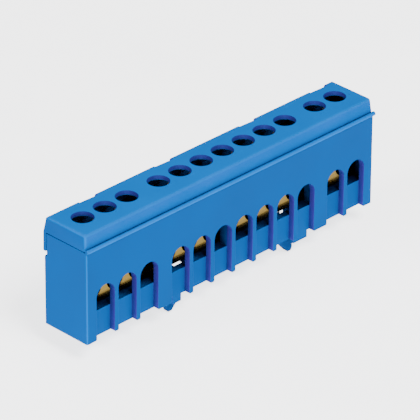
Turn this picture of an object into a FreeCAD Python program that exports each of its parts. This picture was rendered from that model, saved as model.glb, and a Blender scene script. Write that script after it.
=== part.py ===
import FreeCAD, Part
import Sketcher
import math
import os

# Insulated neutral bar for a 35 mm rail, in millimetres.
# X runs along the bar, Y from the wire entries to the back, Z up from the rail's face.
# The origin is the middle of the rail clip, in the plane where the rail's face bears.

DIMENSIONS = {
    # terminals: a row of three groups
    "terminal_pitch": 6.5,
    "group_gap": 9.5,
    "end_to_terminal": 5.5,
    "left_group": 3,
    "middle_group": 7,
    "right_group": 2,
    # base moulding
    "base_depth": 13.0,
    "base_height": 22.45,
    "end_wall": 1.2,
    "front_wall": 1.55,
    "lower_wall": 1.2,
    "back_wall": 1.2,
    "shelf_top": 6.2,
    "shelf_thickness": 1.0,
    "corner_radius": 0.5,
    # wire entries in the front wall
    "entry_width": 5.45,
    "wire_height": 10.25,
    "entry_draft": 0.13,
    "entry_foot": 0.3,
    # rail clip under the base
    "rail_from_left": 47.2,
    "rail_width": 35.0,
    "rail_side_play": 0.35,
    "rail_lip": 1.0,
    "rail_lip_play": 0.3,
    "finger_thickness": 1.7,
    "finger_width": 1.5,
    "finger_spread": 3.9,
    "finger_drop": 5.0,
    "barb_reach": 2.2,
    "barb_nose": 0.6,
    "barb_slope": 0.3,
    "tip_width": 1.35,
    "tip_bevel": 0.35,
    "core_margin": 0.3,
    "core_reach": 1.2,
    "stop_gap": 0.05,
    "stop_drop": 1.8,
    "left_stop_width": 2.6,
    "right_stop_width": 4.4,
    # film hinge along the front top edge
    "hinge_radius": 0.5,
    "hinge_proud": 0.05,
    "hinge_rise": 0.35,
    "hinge_play": 0.05,
    # lid moulding
    "lid_height": 4.0,
    "seam_gap": 0.2,
    "lid_front_inset": 0.3,
    "lid_wall": 1.3,
    "lid_roof": 1.1,
    "front_lean": 0.4,
    "back_lean": 0.75,
    "end_lean": 0.3,
    "lid_edge_radius": 0.7,
    "access_diameter": 5.15,
    "gate_width": 2.2,
    "gate_proud": 0.25,
    # snap flap at the back of the lid
    "flap_thickness": 0.9,
    "flap_proud": 0.35,
    "flap_play": 0.1,
    "flap_drop": 4.4,
    "flap_clearance": 1.15,
    "flap_radius": 0.3,
    "window_width": 5.2,
    "window_drop": 3.15,
    "window_height": 2.75,
    "notch_wall": 0.65,
    # catches on the back of the base
    "catch_side_play": 0.4,
    "catch_lift": 0.25,
    "catch_height": 1.55,
    "catch_root": 0.12,
    "catch_crest": 0.28,
    # brass bar
    "bar_width": 6.0,
    "bar_height": 9.0,
    "bar_end_play": 0.5,
    "bar_back_play": 1.25,
    "wire_bore": 5.0,
    "fixing_bore": 4.8,
    "bar_edge": 0.25,
    # ribs that hold the bar off the walls
    "thin_rib": 1.2,
    "wide_rib": 3.0,
    "rib_play": 0.1,
    "nib_reach": 0.5,
    "nib_height": 0.8,
    "nib_play": 0.1,
    # clamping screws
    "thread_diameter": 4.0,
    "thread_play": 0.05,
    "head_diameter": 5.6,
    "head_height": 2.4,
    "head_clearance": 2.3,
    "slot_width": 0.8,
    "slot_depth": 1.2,
    "cross_length": 3.2,
    "screw_backed_out": 0.1,
}

OVERSHOOT = 1.0

doc = FreeCAD.newDocument("neutral_terminal_block")
sheet = doc.addObject("Spreadsheet::Sheet", "sizes")
for row, (alias, number) in enumerate(DIMENSIONS.items(), start=1):
    sheet.set(f"A{row}", alias)
    sheet.set(f"B{row}", str(number))
    sheet.setAlias(f"B{row}", alias)
doc.recompute()


class Size:
    """A length as a number, and as the expression on the sheet that gives it."""

    def __init__(self, number, text):
        self.number = number
        self.text = text

    def __add__(self, other):
        other = as_size(other)
        return Size(self.number + other.number, f"({self.text} + {other.text})")

    def __sub__(self, other):
        other = as_size(other)
        return Size(self.number - other.number, f"({self.text} - {other.text})")

    def __mul__(self, other):
        other = as_size(other)
        return Size(self.number * other.number, f"({self.text} * {other.text})")

    def __truediv__(self, other):
        other = as_size(other)
        return Size(self.number / other.number, f"({self.text} / {other.text})")

    def __neg__(self):
        return Size(-self.number, f"(-{self.text})")


def as_size(value):
    """Turn a plain number into a Size."""
    if isinstance(value, Size):
        return value
    return Size(value, str(value))


def size(alias):
    """One driving dimension."""
    return Size(DIMENSIONS[alias], f"sizes.{alias}")


# Planes that the pieces share

pitch = size("terminal_pitch")
group_gap = size("group_gap")
left_span = (size("left_group") - 1) * pitch
middle_span = (size("middle_group") - 1) * pitch
right_span = (size("right_group") - 1) * pitch

left_end = -size("rail_from_left")
left_start = left_end + size("end_to_terminal")
middle_start = left_start + left_span + group_gap
right_start = middle_start + middle_span + group_gap
right_end = right_start + right_span + size("end_to_terminal")
length = right_end - left_end

front = -size("base_depth") / 2
back = size("base_depth") / 2
chamber_front = front + size("front_wall")
recess_back = back + size("flap_proud") - size("flap_thickness") - size("flap_play")
chamber_back = recess_back - size("back_wall")
base_top = size("base_height")
shelf_top = size("shelf_top")
shelf_bottom = shelf_top - size("shelf_thickness")
wire_height = size("wire_height")

bar_back = chamber_back - size("bar_back_play")
bar_front = bar_back - size("bar_width")
bar_middle = bar_back - size("bar_width") / 2
bar_top = shelf_top + size("bar_height")
bar_left = left_end + size("end_wall") + size("bar_end_play")
bar_right = right_end - size("end_wall") - size("bar_end_play")
left_gap_middle = middle_start - group_gap / 2
right_gap_middle = right_start - group_gap / 2

hinge_y = front - size("hinge_proud")
hinge_z = base_top + size("hinge_rise")
lid_bottom = base_top + size("seam_gap")
lid_top = base_top + size("lid_height")
flap_outer = back + size("flap_proud")
flap_inner = flap_outer - size("flap_thickness")
flap_bottom = base_top - size("flap_drop")
recess_bottom = flap_bottom - size("flap_clearance")
window_bottom = base_top - size("window_drop")
window_top = window_bottom + size("window_height")

screw_tip = wire_height + size("wire_bore") / 2 + size("screw_backed_out")
head_top = lid_top - size("lid_roof") - size("head_clearance")
head_bottom = head_top - size("head_height")
shank_length = head_bottom - screw_tip

GROUPS = [
    ("left", left_start, "left_group", left_span),
    ("middle", middle_start, "middle_group", middle_span),
    ("right", right_start, "right_group", right_span),
]


def terminal_positions():
    """The middle of each terminal along X, from left to right."""
    places = []
    for name, start, count, span in GROUPS:
        for index in range(DIMENSIONS[count]):
            places.append(start + pitch * index)
    return places


def new_body(label):
    """A piece of its own, with its label as the node's name."""
    body = doc.addObject("PartDesign::Body", label)
    body.Label = label
    body.Placement = FreeCAD.Placement()
    return body


def origin_feature(body, role):
    """An origin plane or axis of this body."""
    for feature in body.Origin.OriginFeatures:
        if feature.Role == role:
            return feature
    raise ValueError(role)


def new_sketch(body, name, role, offset=None):
    """A sketch on an origin plane of its own body, moved along the plane's normal."""
    sketch = body.newObject("Sketcher::SketchObject", name)
    sketch.AttachmentSupport = (origin_feature(body, role), [""])
    sketch.MapMode = "FlatFace"
    if offset is not None:
        sketch.setExpression("AttachmentOffset.Base.z", offset.text)
    return sketch


def place_point(sketch, geometry, point, x, y):
    """Fix one point of a sketch to its place on the sheet."""
    for kind, value in (("DistanceX", x), ("DistanceY", y)):
        number = sketch.addConstraint(Sketcher.Constraint(kind, -1, 1, geometry, point, value.number))
        sketch.setExpression(f"Constraints[{number}]", value.text)


def add_outline(sketch, corners):
    """A closed outline through corners given as (x, y) sizes."""
    points = [FreeCAD.Vector(x.number, y.number, 0) for x, y in corners]
    first = sketch.GeometryCount
    total = len(points)
    for index in range(total):
        sketch.addGeometry(Part.LineSegment(points[index], points[(index + 1) % total]))
    for index in range(total):
        following = first + (index + 1) % total
        sketch.addConstraint(Sketcher.Constraint("Coincident", first + index, 2, following, 1))
    for index, (x, y) in enumerate(corners):
        place_point(sketch, first + index, 1, x, y)


def add_rectangle(sketch, x_low, x_high, y_low, y_high):
    """A rectangle between two pairs of planes."""
    add_outline(sketch, [(x_low, y_low), (x_high, y_low), (x_high, y_high), (x_low, y_high)])


def add_circle(sketch, x, y, diameter):
    """A circle round a placed centre."""
    centre = FreeCAD.Vector(x.number, y.number, 0)
    circle = sketch.addGeometry(Part.Circle(centre, FreeCAD.Vector(0, 0, 1), diameter.number / 2))
    place_point(sketch, circle, 3, x, y)
    number = sketch.addConstraint(Sketcher.Constraint("Diameter", circle, diameter.number))
    sketch.setExpression(f"Constraints[{number}]", diameter.text)


def add_polygon(sketch, sides, diameter):
    """A regular polygon about the sketch's centre, with its corners on a circle."""
    corners = []
    for index in range(sides):
        angle = 2 * math.pi * (index + 0.5) / sides
        corners.append((diameter * (math.cos(angle) / 2), diameter * (math.sin(angle) / 2)))
    add_outline(sketch, corners)


def add_arch(sketch, x, y_centre, width, draft, foot):
    """A door-shaped outline: sides that draw in downwards under a half circle, and flare at the foot."""
    radius = width / 2
    low = radius - draft
    sides = [(x - radius, y_centre), (x - low, foot), (x - low - foot, as_size(0.0))]
    sides.append((x - low - foot, as_size(-OVERSHOOT)))
    sides += [(x * 2 - a, b) for a, b in reversed(sides)]
    points = [FreeCAD.Vector(a.number, b.number, 0) for a, b in sides]
    first = sketch.GeometryCount
    last = len(points) - 2
    for index in range(last + 1):
        sketch.addGeometry(Part.LineSegment(points[index], points[index + 1]))
    crown = points[0] + FreeCAD.Vector(radius.number, radius.number, 0)
    arc = sketch.addGeometry(Part.Arc(points[-1], crown, points[0]))
    for index in range(last):
        sketch.addConstraint(Sketcher.Constraint("Coincident", first + index, 2, first + index + 1, 1))
    sketch.addConstraint(Sketcher.Constraint("Coincident", first + last, 2, arc, 1))
    sketch.addConstraint(Sketcher.Constraint("Coincident", arc, 2, first, 1))
    for index, (a, b) in enumerate(sides[:-1]):
        place_point(sketch, first + index, 1, a, b)
    place_point(sketch, first + last, 2, *sides[-1])
    number = sketch.addConstraint(Sketcher.Constraint("DistanceY", -1, 1, arc, 3, y_centre.number))
    sketch.setExpression(f"Constraints[{number}]", y_centre.text)


def extrude(body, kind, name, sketch, depth, reverse=False, both_sides=False):
    """A Pad or a Pocket of a sketch, with the direction that the caller names."""
    before = body.Shape.Volume if body.Tip and not body.Shape.isNull() else 0.0
    feature = body.newObject(f"PartDesign::{kind}", name)
    feature.Profile = sketch
    feature.Length = depth.number
    feature.setExpression("Length", depth.text)
    feature.Reversed = reverse
    feature.Midplane = both_sides
    sketch.Visibility = False
    doc.recompute()
    grown = body.Shape.Volume - before
    if (kind == "Pad") != (grown > 0) or abs(grown) < 1e-6:
        raise ValueError(f"{body.Label}: {name} changes the volume by {grown:.4f}")
    return feature


def repeat_along_bar(body, feature, count, span):
    """Repeat a feature at the terminal pitch."""
    if DIMENSIONS[count] < 2:
        return
    pattern = body.newObject("PartDesign::LinearPattern", f"{feature.Name}_row")
    pattern.Originals = [feature]
    pattern.Direction = (origin_feature(body, "X_Axis"), [""])
    pattern.Length = span.number
    pattern.setExpression("Length", span.text)
    pattern.Occurrences = DIMENSIONS[count]
    pattern.setExpression("Occurrences", f"sizes.{count}")
    body.Tip = pattern
    doc.recompute()


def round_edges(body, kind, name, chosen, radius):
    """A Fillet or a Chamfer on the edges of the body that a test picks out."""
    edges = [f"Edge{index}" for index, edge in enumerate(body.Shape.Edges, start=1) if chosen(edge)]
    carrier = body.Tip
    feature = body.newObject(f"PartDesign::{kind}", name)
    feature.Base = (carrier, edges)
    quantity = "Radius" if kind == "Fillet" else "Size"
    feature.setExpression(quantity, radius.text)
    doc.recompute()
    return feature


def near(value, target, slack=1e-3):
    return abs(value - target.number) < slack


def flat_at(edge, axis, target):
    """True where the whole edge lies in one plane across an axis (0, 1, 2 for X, Y, Z)."""
    return all(near(tuple(vertex.Point)[axis], target) for vertex in edge.Vertexes)


def runs_along(edge, axis):
    """True for a straight edge along an axis."""
    direction = edge.Vertexes[-1].Point - edge.Vertexes[0].Point
    along = abs(tuple(direction)[axis])
    return along > 0.999 * edge.Length


# Base: one moulding with the wire entries, the bar's shelf, the rail clip and the film hinge

base = new_body("base")

outline = new_sketch(base, "base_outline", "XY_Plane")
add_rectangle(outline, left_end, right_end, front, back)
extrude(base, "Pad", "base_block", outline, base_top)


def front_upright(edge):
    return runs_along(edge, 2) and flat_at(edge, 1, front)


round_edges(base, "Fillet", "base_corners", front_upright, size("corner_radius"))


chamber = new_sketch(base, "chamber_plan", "XY_Plane", base_top)
chamber_left = left_end + size("end_wall")
chamber_right = right_end - size("end_wall")
add_rectangle(chamber, chamber_left, chamber_right, chamber_front, chamber_back)
extrude(base, "Pocket", "bar_chamber", chamber, base_top - shelf_top)

hollow = new_sketch(base, "hollow_plan", "XY_Plane")
hollow_front = chamber_front + size("lower_wall")
hollow_back = back - size("lower_wall")
add_rectangle(hollow, chamber_left, chamber_right, hollow_front, hollow_back)
extrude(base, "Pocket", "lower_hollow", hollow, shelf_bottom, reverse=True)

# The flap of the lid lies in this recess
recess = new_sketch(base, "flap_recess_profile", "YZ_Plane", left_end - OVERSHOOT)
add_rectangle(recess, recess_back, back + OVERSHOOT, recess_bottom, base_top + OVERSHOOT)
extrude(base, "Pocket", "flap_recess", recess, length + 2 * OVERSHOOT, reverse=True)

# Arched wire entries: channels down to the bottom edge, open to the chamber above the shelf
for name, start, count, span in GROUPS:
    entry = new_sketch(base, f"{name}_entry_profile", "XZ_Plane", -front + OVERSHOOT)
    add_arch(entry, start, wire_height, size("entry_width"), size("entry_draft"), size("entry_foot"))
    cut = extrude(base, "Pocket", f"{name}_entry", entry, size("front_wall") + OVERSHOOT)
    repeat_along_bar(base, cut, count, span)

# Ribs in the chamber hold the bar off both walls. Those in front hook over its top edge with a nib
middle_rib = middle_start + middle_span / 2 - pitch / 2
for name, rib_middle, rib_width in (
    ("middle", middle_rib, size("thin_rib")),
    ("gap", right_gap_middle, size("wide_rib")),
):
    rib = new_sketch(base, f"{name}_rib_profile", "YZ_Plane", rib_middle - rib_width / 2)
    rib_face = bar_front - size("rib_play")
    nib_bottom = bar_top + size("nib_play")
    nib_end = bar_front + size("nib_reach")
    rib_root = chamber_front - size("front_wall") / 2
    add_outline(rib, [
        (rib_root, shelf_bottom),
        (rib_face, shelf_bottom),
        (rib_face, nib_bottom),
        (nib_end, nib_bottom),
        (rib_face, nib_bottom + size("nib_height")),
        (rib_root, nib_bottom + size("nib_height")),
    ])
    extrude(base, "Pad", f"{name}_rib", rib, rib_width)
    back_rib = new_sketch(base, f"{name}_back_rib_profile", "YZ_Plane", rib_middle - rib_width / 2)
    back_root = chamber_back + size("back_wall") / 2
    add_rectangle(back_rib, bar_back + size("rib_play"), back_root, shelf_bottom, bar_top)
    extrude(base, "Pad", f"{name}_back_rib", back_rib, rib_width)

# Clip fingers hang from the shelf in two rows and snap round the rail's two lips
rail_half = size("rail_width") / 2
finger_inner = rail_half + size("rail_side_play")
finger_outer = finger_inner + size("finger_thickness")
finger_root = shelf_bottom + size("shelf_thickness") / 2
catch_level = -size("rail_lip") - size("rail_lip_play")
barb_top = catch_level - size("barb_slope")
barb_bottom = barb_top - size("barb_nose")
barb_tip = finger_inner - size("barb_reach")
finger_places = []
for name, side in (("left", -1), ("right", 1)):
    for row, place in (("front", -size("finger_spread") / 2), ("back", size("finger_spread") / 2)):
        finger_places.append((name, side, row, place))
for name, side, row, place in finger_places:
    finger = new_sketch(base, f"{name}_{row}_finger_profile", "XZ_Plane", -place - size("finger_width") / 2)
    add_outline(finger, [
        (finger_inner * side, finger_root),
        (finger_inner * side, catch_level),
        (barb_tip * side, barb_top),
        (barb_tip * side, barb_bottom),
        ((finger_outer - size("tip_width")) * side, -size("finger_drop")),
        ((finger_outer - size("tip_bevel")) * side, -size("finger_drop")),
        (finger_outer * side, -size("finger_drop") + size("tip_bevel") * 2),
        (finger_outer * side, finger_root),
    ])
    extrude(base, "Pad", f"{name}_{row}_finger", finger, size("finger_width"))

# The mould forms each barb from above, so the shelf is open over it
core_half = size("finger_width") / 2 + size("core_margin")
core_end = barb_tip - size("core_reach")
for name, side, row, place in finger_places:
    core = new_sketch(base, f"{name}_{row}_core_plan", "XY_Plane", shelf_top)
    add_rectangle(core, core_end * side, finger_inner * side, place - core_half, place + core_half)
    extrude(base, "Pocket", f"{name}_{row}_core", core, size("shelf_thickness"))

# Stops below the walls keep the rail's lips between them
stop_inner = rail_half + size("stop_gap")
for name, side, stop_width in (
    ("left", -1, size("left_stop_width")),
    ("right", 1, size("right_stop_width")),
):
    for wall, wall_front, wall_back in (
        ("front", chamber_front, hollow_front),
        ("back", hollow_back, back),
    ):
        stop = new_sketch(base, f"{name}_{wall}_stop_plan", "XY_Plane", -size("stop_drop"))
        add_rectangle(stop, stop_inner * side, (stop_inner + stop_width) * side, wall_front, wall_back)
        extrude(base, "Pad", f"{name}_{wall}_stop", stop, size("stop_drop") + size("lower_wall"))

# Catches on the back wall stand in the windows of the lid's flap
snap_places = [
    ("left", left_start + pitch),
    ("inner_left", middle_start + pitch),
    ("inner_right", middle_start + middle_span - pitch),
    ("right", right_start + pitch),
]
catch_width = size("window_width") - size("catch_side_play") * 2
catch_bottom = window_bottom + size("catch_lift")
catch_top = catch_bottom + size("catch_height")
catch_seat = recess_back - size("flap_thickness") / 2
for name, place in snap_places:
    catch = new_sketch(base, f"{name}_catch_profile", "YZ_Plane", place - catch_width / 2)
    add_outline(catch, [
        (catch_seat, catch_bottom),
        (recess_back + size("catch_root"), catch_bottom),
        (recess_back + size("catch_crest"), catch_bottom + size("catch_height") / 2),
        (recess_back, catch_top),
        (catch_seat, catch_top),
    ])
    extrude(base, "Pad", f"{name}_catch", catch, catch_width)

# The film hinge folds into a bead along the front top edge
bead = new_sketch(base, "hinge_bead_profile", "YZ_Plane", left_end)
add_circle(bead, hinge_y, hinge_z, size("hinge_radius") * 2)
extrude(base, "Pad", "hinge_bead", bead, length)


# Lid: a shallow cover that turns on the film hinge, with a snap flap down its back

lid = new_body("lid")

lid_front = front + size("lid_front_inset")
lid_back = flap_outer - size("back_lean")
section = new_sketch(lid, "lid_section", "YZ_Plane", left_end)
add_outline(section, [
    (lid_front, lid_bottom),
    (flap_inner, lid_bottom),
    (flap_inner, flap_bottom),
    (flap_outer, flap_bottom),
    (flap_outer, lid_bottom),
    (lid_back, lid_top),
    (lid_front + size("front_lean"), lid_top),
])
extrude(lid, "Pad", "lid_block", section, length)

# The ends lean in as the front and back do
rise = lid_top - lid_bottom
run_out = size("end_lean") * (rise + OVERSHOOT) / rise
for name, end, side in (("left", left_end, -1), ("right", right_end, 1)):
    slope = new_sketch(lid, f"{name}_end_slope", "XZ_Plane", -front + OVERSHOOT)
    add_outline(slope, [
        (end, lid_bottom),
        (end - run_out * side, lid_top + OVERSHOOT),
        (end + as_size(OVERSHOOT * side), lid_top + OVERSHOOT),
        (end + as_size(OVERSHOOT * side), lid_bottom),
    ])
    extrude(lid, "Pocket", f"{name}_end_lean", slope, size("base_depth") + 3 * OVERSHOOT)


def front_corner(edge):
    heights = sorted(vertex.Point.z for vertex in edge.Vertexes)
    if len(heights) < 2 or edge.Vertexes[0].Point.y > 0:
        return False
    return near(heights[0], lid_bottom) and near(heights[-1], lid_top)


round_edges(lid, "Fillet", "lid_corners", front_corner, size("lid_edge_radius"))


def lid_rim(edge):
    return flat_at(edge, 2, lid_top)


round_edges(lid, "Fillet", "lid_rim", lid_rim, size("lid_edge_radius"))


def flap_foot(edge):
    return runs_along(edge, 0) and flat_at(edge, 2, flap_bottom)


round_edges(lid, "Fillet", "flap_foot", flap_foot, size("flap_radius"))

cavity = new_sketch(lid, "cavity_plan", "XY_Plane", lid_bottom)
cavity_front = lid_front + size("lid_wall")
cavity_back = flap_inner - size("lid_wall")
add_rectangle(cavity, left_end + size("lid_wall"), right_end - size("lid_wall"), cavity_front, cavity_back)
extrude(lid, "Pocket", "lid_cavity", cavity, rise - size("lid_roof"), reverse=True)

# The lid clears the hinge bead all the way round its swing
groove = new_sketch(lid, "hinge_groove_profile", "YZ_Plane", left_end - OVERSHOOT)
add_circle(groove, hinge_y, hinge_z, (size("hinge_radius") + size("hinge_play")) * 2)
extrude(lid, "Pocket", "hinge_groove", groove, length + 2 * OVERSHOOT, reverse=True)

# Screwdriver holes over the terminals
for name, start, count, span in GROUPS:
    access = new_sketch(lid, f"{name}_access_plan", "XY_Plane", lid_top + OVERSHOOT)
    add_circle(access, start, bar_middle, size("access_diameter"))
    cut = extrude(lid, "Pocket", f"{name}_access", access, size("lid_roof") + 2 * OVERSHOOT)
    repeat_along_bar(lid, cut, count, span)

# Snap windows through the flap, under notches that run up to the lid's top edge
window_half = size("window_width") / 2
notch_face = cavity_back + size("notch_wall")
for name, place in snap_places:
    notch = new_sketch(lid, f"{name}_notch_profile", "YZ_Plane", place - window_half)
    add_rectangle(notch, notch_face, flap_outer + OVERSHOOT, window_top, lid_top + OVERSHOOT)
    extrude(lid, "Pocket", f"{name}_notch", notch, size("window_width"), reverse=True)
    window = new_sketch(lid, f"{name}_window_profile", "YZ_Plane", place - window_half)
    add_rectangle(window, flap_inner - OVERSHOOT / 2, flap_outer, window_bottom, window_top)
    extrude(lid, "Pocket", f"{name}_window", window, size("window_width"), reverse=True)

# Stub of the moulding gate on the right end
gate = new_sketch(lid, "gate_plan", "XY_Plane", lid_bottom)
gate_back = lid_back - size("lid_edge_radius")
gate_face = right_end - size("end_lean") + size("gate_proud")
add_rectangle(gate, right_end - size("lid_wall"), gate_face, gate_back - size("gate_width"), gate_back)
extrude(lid, "Pad", "gate_stub", gate, rise - size("lid_edge_radius"))


# Brass bar, cross-drilled for the wires and tapped from above for the screws

bar = new_body("terminal_bar")

blank = new_sketch(bar, "bar_plan", "XY_Plane", shelf_top)
add_rectangle(blank, bar_left, bar_right, bar_front, bar_back)
extrude(bar, "Pad", "bar_blank", blank, size("bar_height"))


def bar_long_edge(edge):
    return runs_along(edge, 0)


round_edges(bar, "Chamfer", "bar_edges", bar_long_edge, size("bar_edge"))

for name, start, count, span in GROUPS:
    wire = new_sketch(bar, f"{name}_wire_profile", "XZ_Plane", -bar_front + OVERSHOOT)
    add_circle(wire, start, wire_height, size("wire_bore"))
    cut = extrude(bar, "Pocket", f"{name}_wire_bore", wire, size("bar_width") + 2 * OVERSHOOT)
    repeat_along_bar(bar, cut, count, span)
    tapped = new_sketch(bar, f"{name}_tapped_plan", "XY_Plane", bar_top + OVERSHOOT)
    add_circle(tapped, start, bar_middle, size("thread_diameter"))
    cut = extrude(bar, "Pocket", f"{name}_tapped_bore", tapped, bar_top + OVERSHOOT - wire_height)
    repeat_along_bar(bar, cut, count, span)

for name, place in (("left", left_gap_middle), ("right", right_gap_middle)):
    fixing = new_sketch(bar, f"{name}_fixing_profile", "XZ_Plane", -bar_front + OVERSHOOT)
    add_circle(fixing, place, wire_height, size("fixing_bore"))
    extrude(bar, "Pocket", f"{name}_fixing_bore", fixing, size("bar_width") + 2 * OVERSHOOT)


# Clamping screws, backed out so that the wire bores are free

SHANK_SIDES = 10
HEAD_SIDES = 16


def make_screw(label, place):
    """A cheese-head screw with a slot and a cross. Its rounds are many-sided to keep the facets few."""
    body = new_body(label)
    head = size("head_diameter") / 2
    crown = shank_length + size("head_height")
    shank_plan = new_sketch(body, f"{label}_shank_plan", "XY_Plane")
    add_polygon(shank_plan, SHANK_SIDES, size("thread_diameter") - size("thread_play") * 2)
    extrude(body, "Pad", f"{label}_shank", shank_plan, shank_length)
    head_plan = new_sketch(body, f"{label}_head_plan", "XY_Plane", shank_length)
    add_polygon(head_plan, HEAD_SIDES, size("head_diameter"))
    extrude(body, "Pad", f"{label}_head", head_plan, size("head_height"))
    half_slot = size("slot_width") / 2
    slot = new_sketch(body, f"{label}_slot_plan", "XY_Plane", crown)
    add_rectangle(slot, -head - OVERSHOOT, head + OVERSHOOT, -half_slot, half_slot)
    extrude(body, "Pocket", f"{label}_slot", slot, size("slot_depth"))
    half_cross = size("cross_length") / 2
    cross = new_sketch(body, f"{label}_cross_plan", "XY_Plane", crown)
    add_rectangle(cross, -half_slot, half_slot, -half_cross, half_cross)
    extrude(body, "Pocket", f"{label}_cross", cross, size("slot_depth"))
    body.setExpression("Placement.Base.x", place.text)
    body.setExpression("Placement.Base.y", bar_middle.text)
    body.setExpression("Placement.Base.z", screw_tip.text)
    return body


screws = []
for number, place in enumerate(terminal_positions(), start=1):
    screws.append(make_screw(f"screw_{number:02d}", place))

doc.recompute()

for item in doc.Objects:
    if "Invalid" in item.State or "Error" in item.State:
        raise ValueError(f"{item.Name} did not recompute: {item.State}")

os.makedirs("parts", exist_ok=True)
for piece in [base, lid, bar] + screws:
    if piece.Shape.isNull() or not piece.Shape.isValid():
        raise ValueError(f"{piece.Label} has no valid shape")
    if len(piece.Shape.Solids) != 1:
        raise ValueError(f"{piece.Label} is {len(piece.Shape.Solids)} solids")
for piece in [base, lid, bar] + screws:
    piece.Shape.exportStep(os.path.join("parts", f"{piece.Label}.step"))
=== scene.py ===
import math

import bmesh
import bpy
from mathutils import Matrix, Vector


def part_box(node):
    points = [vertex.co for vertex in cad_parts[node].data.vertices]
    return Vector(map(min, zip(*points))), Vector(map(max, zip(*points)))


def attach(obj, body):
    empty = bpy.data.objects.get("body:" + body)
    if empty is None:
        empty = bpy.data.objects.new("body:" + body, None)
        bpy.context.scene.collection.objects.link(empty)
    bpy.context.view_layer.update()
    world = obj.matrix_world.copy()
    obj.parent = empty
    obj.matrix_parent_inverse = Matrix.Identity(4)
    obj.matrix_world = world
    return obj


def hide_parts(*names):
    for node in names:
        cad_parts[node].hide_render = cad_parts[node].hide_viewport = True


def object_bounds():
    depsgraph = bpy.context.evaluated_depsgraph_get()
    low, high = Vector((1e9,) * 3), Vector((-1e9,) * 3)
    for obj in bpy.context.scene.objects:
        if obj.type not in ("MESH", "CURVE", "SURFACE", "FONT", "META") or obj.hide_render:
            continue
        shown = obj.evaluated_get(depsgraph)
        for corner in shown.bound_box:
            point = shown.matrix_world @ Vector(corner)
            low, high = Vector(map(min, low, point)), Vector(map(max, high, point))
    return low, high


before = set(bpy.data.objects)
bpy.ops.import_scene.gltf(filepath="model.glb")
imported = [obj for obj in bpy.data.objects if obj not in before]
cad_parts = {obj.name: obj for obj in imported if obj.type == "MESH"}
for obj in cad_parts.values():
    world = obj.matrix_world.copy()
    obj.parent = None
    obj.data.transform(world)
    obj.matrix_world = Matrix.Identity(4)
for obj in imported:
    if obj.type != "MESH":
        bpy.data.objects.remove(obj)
cad_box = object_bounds()

# Camera: a long lens looking down along the bar from its left end, at the photograph's angle.
# The yaw, pitch and roll are those that put the corners and lid holes where the photograph has them.

SENSOR_MM = 36.0
LENS_MM = 375.69
CAMERA_YAW = 45.256
CAMERA_PITCH = 29.501
CAMERA_ROLL = 0.3135
CAMERA_PLACE = Vector((-0.595423, -0.586344, 0.484601))
CAMERA_NEAREST = 0.05
CAMERA_FARTHEST = 10.0

camera_data = bpy.data.cameras.new("camera")
camera_data.sensor_fit = "HORIZONTAL"
camera_data.sensor_width = SENSOR_MM
camera_data.lens = LENS_MM
camera_data.clip_start = CAMERA_NEAREST
camera_data.clip_end = CAMERA_FARTHEST
camera = bpy.data.objects.new("camera", camera_data)
bpy.context.scene.collection.objects.link(camera)
turn = (
    Matrix.Rotation(math.radians(-CAMERA_YAW), 4, "Z")
    @ Matrix.Rotation(math.radians(90.0 - CAMERA_PITCH), 4, "X")
    @ Matrix.Rotation(math.radians(CAMERA_ROLL), 4, "Z")
)
camera.matrix_world = Matrix.Translation(CAMERA_PLACE) @ turn
bpy.context.scene.camera = camera


# Studio: a white light table under the clip, one large soft light above the camera's side,
# a weaker one from the left, and a pale even surround.

FLOOR_COLOUR = "F7F8FA"
FLOOR_WHITE = "FFFFFF"
FLOOR_CLOUD_MM = 25.0
FLOOR_SIZE = 6.0
FLOOR_DROP = 0.0002
FLOOR_GLOW = 2.6
SURROUND = 0.3
KEY_PLACE = (-0.15, -0.95, 1.25)
KEY_SIZE = 0.7
KEY_WATTS = 40.0
SIDE_PLACE = (-1.2, 0.2, 0.6)
SIDE_SIZE = 0.5
SIDE_WATTS = 14.0


def linear(hex_text):
    """An sRGB hex colour as the linear colour that a shader takes."""
    channels = []
    for index in (0, 2, 4):
        value = int(hex_text[index:index + 2], 16) / 255.0
        channels.append(value / 12.92 if value <= 0.04045 else ((value + 0.055) / 1.055) ** 2.4)
    return (*channels, 1.0)


def add_node(material, kind, settings=None, **links):
    """One shader node, with its settings, and a value or a feeding socket for each input named.

    An input goes by its name, with _ for a space, or by i and its number, such as i0.
    """
    node = material.node_tree.nodes.new(kind)
    for name, value in (settings or {}).items():
        setattr(node, name, value)
    for name, value in links.items():
        numbered = name[0] == "i" and name[1:].isdigit()
        socket = node.inputs[int(name[1:]) if numbered else name.replace("_", " ")]
        if isinstance(value, bpy.types.NodeSocket):
            material.node_tree.links.new(value, socket)
        else:
            socket.default_value = value
    return node


def new_material(name):
    material = bpy.data.materials.new(name)
    material.use_nodes = True
    material.node_tree.nodes.clear()
    return material


def finish_material(material, shader):
    add_node(material, "ShaderNodeOutputMaterial", i0=shader.outputs[0])
    return material


# Opal acrylic lit from below: an even white with a very faint cloud in it.
opal = new_material("opal_light_table")
cloud = add_node(opal, "ShaderNodeTexNoise", Scale=1000.0 / FLOOR_CLOUD_MM, Detail=3.0,
                 Vector=add_node(opal, "ShaderNodeTexCoord").outputs["Object"])
cloud_colour = add_node(opal, "ShaderNodeMix", {"data_type": "RGBA"}, i0=cloud.outputs["Fac"],
                        i6=linear(FLOOR_COLOUR), i7=linear(FLOOR_WHITE)).outputs[2]
finish_material(opal, add_node(opal, "ShaderNodeBsdfPrincipled", Base_Color=cloud_colour,
                               Emission_Color=cloud_colour, Emission_Strength=FLOOR_GLOW,
                               Roughness=0.9))

lowest = cad_box[0][2]
bpy.ops.mesh.primitive_plane_add(size=FLOOR_SIZE, location=(0.0, 0.0, lowest - FLOOR_DROP))
floor = bpy.context.object
floor.name = "floor"
floor.data.materials.append(opal)

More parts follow.
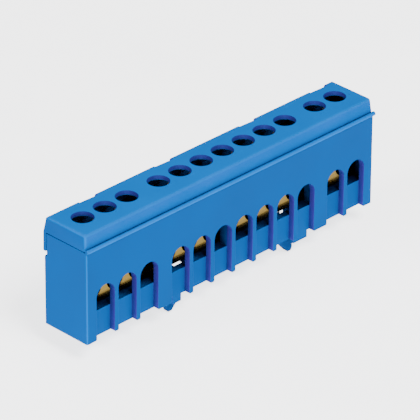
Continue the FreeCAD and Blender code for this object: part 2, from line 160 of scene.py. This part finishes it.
world = bpy.data.worlds.new("surround")
world.use_nodes = True
world.node_tree.nodes["Background"].inputs["Color"].default_value = (1.0, 1.0, 1.0, 1.0)
world.node_tree.nodes["Background"].inputs["Strength"].default_value = SURROUND
bpy.context.scene.world = world

for light_name, place, width, watts in (
    ("key", KEY_PLACE, KEY_SIZE, KEY_WATTS),
    ("side", SIDE_PLACE, SIDE_SIZE, SIDE_WATTS),
):
    light_data = bpy.data.lights.new(light_name, "AREA")
    light_data.shape = "DISK"
    light_data.size = width
    light_data.energy = watts
    light = bpy.data.objects.new(light_name, light_data)
    light.location = place
    light.rotation_euler = (-Vector(place)).to_track_quat("-Z", "Y").to_euler()
    bpy.context.scene.collection.objects.link(light)


# Base and lid: two mouldings of the same self-extinguishing polyamide, coloured light blue as a
# neutral conductor's parts are. The mould is lightly spark-textured, so the gloss is broken up by a
# fine grain.
# Light and shade are painted into the blue: lighter on top, a painted highlight on the bead and open
# edges, painted violet shade where light would reach a wall only by way of other blue walls, and
# painted navy shade deeper in.

# Painted light: the next four blues are one polyamide, painted lighter on faces that look up and
# darker on the fronts and ends.
BLUE_TOP_PAINTED_LIGHT = "0060B0"
BLUE_LID_FRONT_PAINTED_SHADE = "004E96"
BLUE_FRONT_PAINTED_SHADE = "00417F"
BLUE_END_PAINTED_SHADE = "004281"
# Painted highlight: the next blue is painted on the bead and on open slanted or rounded edges.
BLUE_PAINTED_HIGHLIGHT = "005CA6"
BLUE_GLOSS = "0068D8"
# Painted shade: violet is painted on the entries' side walls and in the lid holes.
VIOLET_PAINTED_SHADE = "392A88"
# Painted shade: navy is painted on deep walls and on covered ledges inside.
NAVY_PAINTED_SHADE = "000A26"
GRAIN_MM = 0.45
GRAIN_HEIGHT = 0.00004
FLOW_MM = 14.0

# Where the painted shades and the painted highlight begin and end, in metres from the solids' own
# boxes.
NEAR_REACH = 0.002
DEEP_REACH = 0.009
SHADE_SAMPLES = 8
BEAD_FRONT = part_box("base")[0][1]
FRONT_FACE = BEAD_FRONT + 0.00052
REVEAL_BACK = BEAD_FRONT + 0.0021
REVEAL_FADE = 0.0002
HOLE_FOOT = cad_box[1][2] - 0.00105
HOLE_FADE = 0.0001
HOLE_VIOLET = 0.7
MIDDLE_X = (cad_box[0][0] + cad_box[1][0]) / 2.0
HALF_LENGTH = (cad_box[1][0] - cad_box[0][0]) / 2.0
END_WALL_INSIDE = HALF_LENGTH - 0.0012
END_WALL_OUTSIDE = HALF_LENGTH - 0.001

# The rounds along the edges. The gate mark, a thin wedge on the lid's right end, stays crisp.
EDGE_ROUND_MM = 0.12
EDGE_ROOM_MM = 0.48
EDGE_SEGMENTS = 2
ROUND_OVER_DEGREES = 35.0
SMOOTH_UNDER_DEGREES = 28.0
FLAT_UNDER_DEGREES = 0.5
SAME_CORNER = 0.000001
NO_LIMIT_MM = 1000.0
GATE_LOW = (0.0409, 0.0029, 0.0231)
GATE_HIGH = (0.0415, 0.0055, 0.0261)


def moulded_polyamide(name, top, front, end):
    """Satin blue painted lighter on top and darker on the fronts and ends, with a painted highlight
    on the bead and open edges, painted violet shade in the entries and lid holes, and painted navy
    shade deep inside.

    The spark texture's grain is drawn coarser than the mould's, so that it shows, and a wide,
    faint change of tone follows the flow of the melt.
    """
    material = new_material(name)
    place = add_node(material, "ShaderNodeTexCoord")
    facing = add_node(material, "ShaderNodeSeparateXYZ", Vector=place.outputs["Normal"])
    point = add_node(material, "ShaderNodeSeparateXYZ", Vector=place.outputs["Object"])
    near, deep = (
        add_node(material, "ShaderNodeAmbientOcclusion", {"samples": SHADE_SAMPLES},
                 Distance=reach).outputs["AO"]
        for reach in (NEAR_REACH, DEEP_REACH))
    flow, grain = (
        add_node(material, "ShaderNodeTexNoise", Vector=place.outputs["Object"],
                 Scale=1000.0 / size_mm, Detail=detail).outputs["Fac"]
        for size_mm, detail in ((FLOW_MM, 2.0), (GRAIN_MM, 3.0)))

    # The largest square is 1 on a face that looks along an axis, and less on a slanted or round one.
    squares = [
        add_node(material, "ShaderNodeMath", {"operation": "MULTIPLY"}, i0=facing.outputs[axis],
                 i1=facing.outputs[axis]).outputs[0]
        for axis in "XYZ"]
    endwise = squares[0]
    squarest = squares[0]
    for square in squares[1:]:
        squarest = add_node(material, "ShaderNodeMath", {"operation": "MAXIMUM"},
                            i0=squarest, i1=square).outputs[0]
    from_middle = add_node(material, "ShaderNodeMath", {"operation": "SUBTRACT"},
                           i0=point.outputs["X"], i1=MIDDLE_X)
    lengthwise = add_node(material, "ShaderNodeMath", {"operation": "ABSOLUTE"},
                          i0=from_middle.outputs[0])

    # Each of these masks changes evenly while what it reads goes from start to stop, and the next
    # ones join two of them.
    masks = {}
    for mask, reading, start, stop, at_start, at_stop in (
        ("skyward", facing.outputs["Z"], 0.1, 0.9, 0.0, 1.0),
        ("bead", point.outputs["Y"], BEAD_FRONT, FRONT_FACE, 1.0, 0.0),
        ("slant", squarest, 0.6, 0.95, 1.0, 0.0),
        ("open", near, 0.8, 1.0, 0.0, 1.0),
        ("tone", flow, 0.3, 0.7, 0.95, 1.05),
        ("near front", point.outputs["Y"], REVEAL_BACK, REVEAL_BACK + REVEAL_FADE, 1.0, 0.0),
        ("sideways", endwise, 0.3, 0.8, 0.0, 1.0),
        ("between ends", lengthwise.outputs[0], END_WALL_INSIDE, END_WALL_OUTSIDE, 1.0, 0.0),
        ("daylight", deep, 0.3, 0.62, 0.0, 1.0),
        ("lid plate", point.outputs["Z"], HOLE_FOOT, HOLE_FOOT + HOLE_FADE, 0.0, HOLE_VIOLET),
        ("sheltered", deep, 0.7, 0.9, 1.0, 0.0),
        ("upright", facing.outputs["Z"], 0.1, 0.5, 1.0, 0.0),
        ("deep walls", deep, 0.22, 0.5, 1.0, 0.0),
        ("under cover", deep, 0.45, 0.8, 1.0, 0.0),
        ("roughness", grain, 0.3, 0.7, 0.5, 0.6),
    ):
        masks[mask] = add_node(
            material, "ShaderNodeMapRange", Value=reading, From_Min=start, From_Max=stop,
            To_Min=at_start, To_Max=at_stop).outputs[0]
    for mask, operation, first, second in (
        # rim is a painted highlight on the bead and on open slanted or rounded faces.
        ("slanted", "MULTIPLY", "slant", "open"),
        ("rim", "MAXIMUM", "bead", "slanted"),
        # reveal down to violet: painted violet shade on the entries' side walls and the lid holes'
        # walls.
        ("reveal", "MULTIPLY", "near front", "sideways"),
        ("entry reveal", "MULTIPLY", "reveal", "between ends"),
        ("lit reveal", "MULTIPLY", "entry reveal", "daylight"),
        ("sheltered wall", "MULTIPLY", "sheltered", "upright"),
        ("hole wall", "MULTIPLY", "lid plate", "sheltered wall"),
        ("violet", "MAXIMUM", "lit reveal", "hole wall"),
        # ledges and navy: painted navy shade on deep walls and on upward faces under cover.
        ("ledges", "MULTIPLY", "under cover", "skyward"),
        ("navy", "MAXIMUM", "deep walls", "ledges"),
    ):
        masks[mask] = add_node(material, "ShaderNodeMath", {"operation": operation},
                               i0=masks[first], i1=masks[second]).outputs[0]

    # The colours lie over each other: first the blues, painted lighter on top and darker on the
    # fronts and ends, with the painted highlight, then the melt's tone, then the painted violet and
    # navy shades.
    colour = linear(front)
    for share, blue in ((endwise, end), (masks["skyward"], top), (masks["rim"], BLUE_PAINTED_HIGHLIGHT)):
        colour = add_node(material, "ShaderNodeMix", {"data_type": "RGBA"}, i0=share, i6=colour,
                          i7=linear(blue)).outputs[2]
    colour = add_node(material, "ShaderNodeHueSaturation", Color=colour,
                      Value=masks["tone"]).outputs[0]
    for share, shade in ((masks["violet"], VIOLET_PAINTED_SHADE), (masks["navy"], NAVY_PAINTED_SHADE)):
        colour = add_node(material, "ShaderNodeMix", {"data_type": "RGBA"}, i0=share, i6=colour,
                          i7=linear(shade)).outputs[2]
    relief = add_node(material, "ShaderNodeBump", Height=grain, Strength=0.12, Distance=GRAIN_HEIGHT)
    return finish_material(material, add_node(
        material, "ShaderNodeBsdfPrincipled", Base_Color=colour, Roughness=masks["roughness"],
        Normal=relief.outputs[0], Specular_IOR_Level=0.012, Specular_Tint=linear(BLUE_GLOSS),
        IOR=1.5))


def narrowness(face):
    """About how wide a face is across its longest edge."""
    return face.calc_area() / max(edge.calc_length() for edge in face.edges)


def at_gate(edge):
    return all(
        GATE_LOW[axis] < corner.co[axis] < GATE_HIGH[axis]
        for corner in edge.verts for axis in range(3))


def soft_edged(node_name, body_name, material, round_mm, room_mm=0.0, longest_mm=NO_LIMIT_MM):
    """The solid's own faces in one skin, with a small round on each sharp edge that has room for it.

    An edge longer than longest_mm, or with less than room_mm beside it, stays crisp.
    """
    skin = bmesh.new()
    skin.from_mesh(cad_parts[node_name].data)
    bmesh.ops.remove_doubles(skin, verts=skin.verts, dist=SAME_CORNER)
    bmesh.ops.dissolve_limit(skin, angle_limit=math.radians(FLAT_UNDER_DEGREES),
                             verts=skin.verts, edges=skin.edges)
    for face in skin.faces:
        face.smooth = True
        face.material_index = 0
    rounded = skin.edges.layers.float.new("bevel_weight_edge")
    for edge in skin.edges:
        angle = edge.calc_face_angle(0.0)
        edge.smooth = angle < math.radians(SMOOTH_UNDER_DEGREES)
        room = min([edge.calc_length()] + [narrowness(face) for face in edge.link_faces])
        fits = room >= room_mm / 1000.0 and edge.calc_length() < longest_mm / 1000.0
        sharp = angle > math.radians(ROUND_OVER_DEGREES)
        edge[rounded] = float(sharp and fits and not at_gate(edge))
    mesh = bpy.data.meshes.new(f"{node_name}_skin")
    skin.to_mesh(mesh)
    skin.free()
    mesh.materials.append(material)
    piece = bpy.data.objects.new(f"{node_name}_skin", mesh)
    bpy.context.scene.collection.objects.link(piece)
    rounding = piece.modifiers.new("soft_edges", "BEVEL")
    rounding.width = round_mm / 1000.0
    rounding.segments = EDGE_SEGMENTS
    rounding.limit_method = "WEIGHT"
    rounding.use_clamp_overlap = False
    rounding.harden_normals = True
    depsgraph = bpy.context.evaluated_depsgraph_get()
    depsgraph.update()
    piece.data = bpy.data.meshes.new_from_object(
        piece.evaluated_get(depsgraph), preserve_all_data_layers=True, depsgraph=depsgraph)
    piece.modifiers.clear()

    # A round never reaches past the solid.
    low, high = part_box(node_name)
    for corner in piece.data.vertices:
        corner.co = [min(max(value, low[axis]), high[axis]) for axis, value in enumerate(corner.co)]
    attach(piece, body_name)
    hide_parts(node_name)
    return piece


soft_edged("base", "housing", moulded_polyamide("base_polyamide", BLUE_TOP_PAINTED_LIGHT, BLUE_FRONT_PAINTED_SHADE, BLUE_END_PAINTED_SHADE),
           EDGE_ROUND_MM, EDGE_ROOM_MM)
soft_edged("lid", "lid", moulded_polyamide("lid_polyamide", BLUE_TOP_PAINTED_LIGHT, BLUE_LID_FRONT_PAINTED_SHADE, BLUE_END_PAINTED_SHADE),
           EDGE_ROUND_MM, EDGE_ROOM_MM)


# Terminal bar: free-cutting brass, sawn from extruded stock and then drilled and tapped.
# The flats keep the fine drawn lines of the extrusion, and the bores the rings of the drill.

BRASS = "7A642C"
BRASS_SHADE = "4C3A14"
BRASS_PAINTED_SHADE = "1C1A0C"
DRAWN_LINE_MM = 0.25
DRAWN_LENGTH_MM = 16.6667
DRILL_RING_MM = 0.7
DRILL_RING_HEIGHT = 0.00006
WAVE_LENGTH = math.tau / 20.0
BORE_REACH = 0.006
BORE_RIM_MM = 0.15
BORE_ROOM_MM = 0.5
BORE_LONGEST_MM = 5.0


def drawn_brass(name):
    """A bright yellow metal with long fine lines, and a painted brown shade where little light gets
    in.

    Lines and rings are drawn coarser than real ones, so that they show. WAVE_LENGTH is how long
    one wave of a wave texture is at a scale of 1.
    """
    material = new_material(name)
    place = add_node(material, "ShaderNodeTexCoord")
    stretch = add_node(
        material, "ShaderNodeMapping", Vector=place.outputs["Object"],
        Scale=(1000.0 / DRAWN_LENGTH_MM, 1000.0 / DRAWN_LINE_MM, 1000.0 / DRAWN_LINE_MM))
    lines = add_node(material, "ShaderNodeTexNoise", Vector=stretch.outputs[0], Scale=1.0,
                     Detail=4.0).outputs["Fac"]
    daylight = add_node(material, "ShaderNodeAmbientOcclusion", {"samples": SHADE_SAMPLES},
                        Distance=BORE_REACH)
    # Painted shade: a dark brown painted into the brass where the occlusion finds little open space
    # around it.
    painted_bore_shade = add_node(material, "ShaderNodeMapRange", Value=daylight.outputs["AO"],
                       From_Min=0.15, From_Max=0.5, To_Min=1.0, To_Max=0.0)
    tint = add_node(material, "ShaderNodeMix", {"data_type": "RGBA"}, i0=lines,
                    i6=linear(BRASS_SHADE), i7=linear(BRASS))
    deepened = add_node(material, "ShaderNodeMix", {"data_type": "RGBA"}, i0=painted_bore_shade.outputs[0],
                        i6=tint.outputs[2], i7=linear(BRASS_PAINTED_SHADE))
    gloss = add_node(material, "ShaderNodeMapRange", Value=lines, From_Min=0.3, From_Max=0.7,
                     To_Min=0.14, To_Max=0.26)
    rings = add_node(material, "ShaderNodeTexWave", {"wave_type": "BANDS", "bands_direction": "Y"},
                     Vector=place.outputs["Object"], Scale=WAVE_LENGTH * 1000.0 / DRILL_RING_MM)
    relief = add_node(material, "ShaderNodeBump", Height=rings.outputs["Fac"], Strength=0.6,
                      Distance=DRILL_RING_HEIGHT)
    return finish_material(material, add_node(
        material, "ShaderNodeBsdfPrincipled", Base_Color=deepened.outputs[2], Metallic=1.0,
        Roughness=gloss.outputs[0], Normal=relief.outputs[0]))


soft_edged("terminal_bar", "housing", drawn_brass("drawn_brass"), BORE_RIM_MM, BORE_ROOM_MM,
           BORE_LONGEST_MM)


# Clamping screws: cold-headed steel with a rolled M4 thread, zinc plated and passivated, which leaves
# a pale satin metal with a faint yellow cast. The thread's crests stay within the shank that the
# CAD part has, and its roots lie under them.

ZINC = "C9C8C2"
ZINC_SHADE = "8F8C80"
ZINC_GRAIN_MM = 0.3
ZINC_GRAIN_HEIGHT = 0.00003
HEAD_MM = 2.4
SHANK_SLACK_MM = 0.1
HEAD_SLACK_MM = 0.01
CORE_MM = 1.66
ROOT_MM = 1.5
CREST_MM = 1.95
PITCH_MM = 0.7
FLANK_SHARE = 0.45
CREST_SHARE = 0.06
START_TURNS = 0.5
RISE_TURNS = 0.5
TURN_STEPS = 24
SCREW_EDGE_MM = 0.1


def plated_steel(name):
    """Pale zinc whose plating has a fine grain, drawn coarser than a real one so that it shows."""
    material = new_material(name)
    place = add_node(material, "ShaderNodeTexCoord")
    grain = add_node(material, "ShaderNodeTexNoise", Vector=place.outputs["Object"],
                     Scale=1000.0 / ZINC_GRAIN_MM, Detail=3.0).outputs["Fac"]
    tint = add_node(material, "ShaderNodeMix", {"data_type": "RGBA"}, i0=grain,
                    i6=linear(ZINC_SHADE), i7=linear(ZINC))
    gloss = add_node(material, "ShaderNodeMapRange", Value=grain, From_Min=0.3, From_Max=0.7,
                     To_Min=0.34, To_Max=0.5)
    relief = add_node(material, "ShaderNodeBump", Height=grain, Strength=0.15,
                      Distance=ZINC_GRAIN_HEIGHT)
    return finish_material(material, add_node(
        material, "ShaderNodeBsdfPrincipled", Base_Color=tint.outputs[2], Metallic=1.0,
        Roughness=gloss.outputs[0], Normal=relief.outputs[0]))


def slim_shank(piece, axis, head_base):
    """The shank's corners drawn in to the core that the thread winds round."""
    below = head_base + HEAD_SLACK_MM / 1000.0
    within = (CREST_MM + SHANK_SLACK_MM) / 1000.0
    for corner in piece.data.vertices:
        radius = math.hypot(corner.co.x - axis.x, corner.co.y - axis.y)
        if corner.co.z < below and radius < within:
            corner.co.x = axis.x + (corner.co.x - axis.x) * CORE_MM / CREST_MM
            corner.co.y = axis.y + (corner.co.y - axis.y) * CORE_MM / CREST_MM


def rolled_thread(name, body_name, axis, low, high, material):
    """A right-handed ridge from low to high that rises out of the core and sinks back into it."""
    steps = int((high - low) * 1000.0 / PITCH_MM * TURN_STEPS) - TURN_STEPS
    ridge = bmesh.new()
    rings = []
    for step in range(steps + 1):
        angle = math.tau * step / TURN_STEPS
        height = low + (step / TURN_STEPS + START_TURNS) * PITCH_MM / 1000.0
        turns_to_end = min(step, steps - step) / TURN_STEPS
        crest = CORE_MM + (CREST_MM - CORE_MM) * min(1.0, turns_to_end / RISE_TURNS)
        ring = []
        for radius, share in (
            (ROOT_MM, -FLANK_SHARE), (crest, -CREST_SHARE),
            (crest, CREST_SHARE), (ROOT_MM, FLANK_SHARE),
        ):
            ring.append(ridge.verts.new((
                axis.x + radius / 1000.0 * math.cos(angle),
                axis.y + radius / 1000.0 * math.sin(angle),
                height + share * PITCH_MM / 1000.0)))
        rings.append(ring)
    for first, second in zip(rings, rings[1:]):
        for corner in range(4):
            following = (corner + 1) % 4
            ridge.faces.new((first[corner], first[following], second[following], second[corner]))
    ridge.faces.new(rings[0])
    ridge.faces.new(rings[-1])
    bmesh.ops.recalc_face_normals(ridge, faces=ridge.faces)
    mesh = bpy.data.meshes.new(name)
    ridge.to_mesh(mesh)
    ridge.free()
    mesh.materials.append(material)
    thread = bpy.data.objects.new(name, mesh)
    bpy.context.scene.collection.objects.link(thread)
    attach(thread, body_name)


zinc = plated_steel("zinc_plated_steel")
for screw_name in sorted(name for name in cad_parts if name.startswith("screw_")):
    lowest_corner, highest_corner = (Vector(corner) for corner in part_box(screw_name))
    screw_axis = (lowest_corner + highest_corner) / 2.0
    head_base = highest_corner.z - HEAD_MM / 1000.0
    screw = soft_edged(screw_name, screw_name, zinc, SCREW_EDGE_MM)
    slim_shank(screw, screw_axis, head_base)
    rolled_thread(f"{screw_name}_thread", screw_name, screw_axis, lowest_corner.z, head_base, zinc)
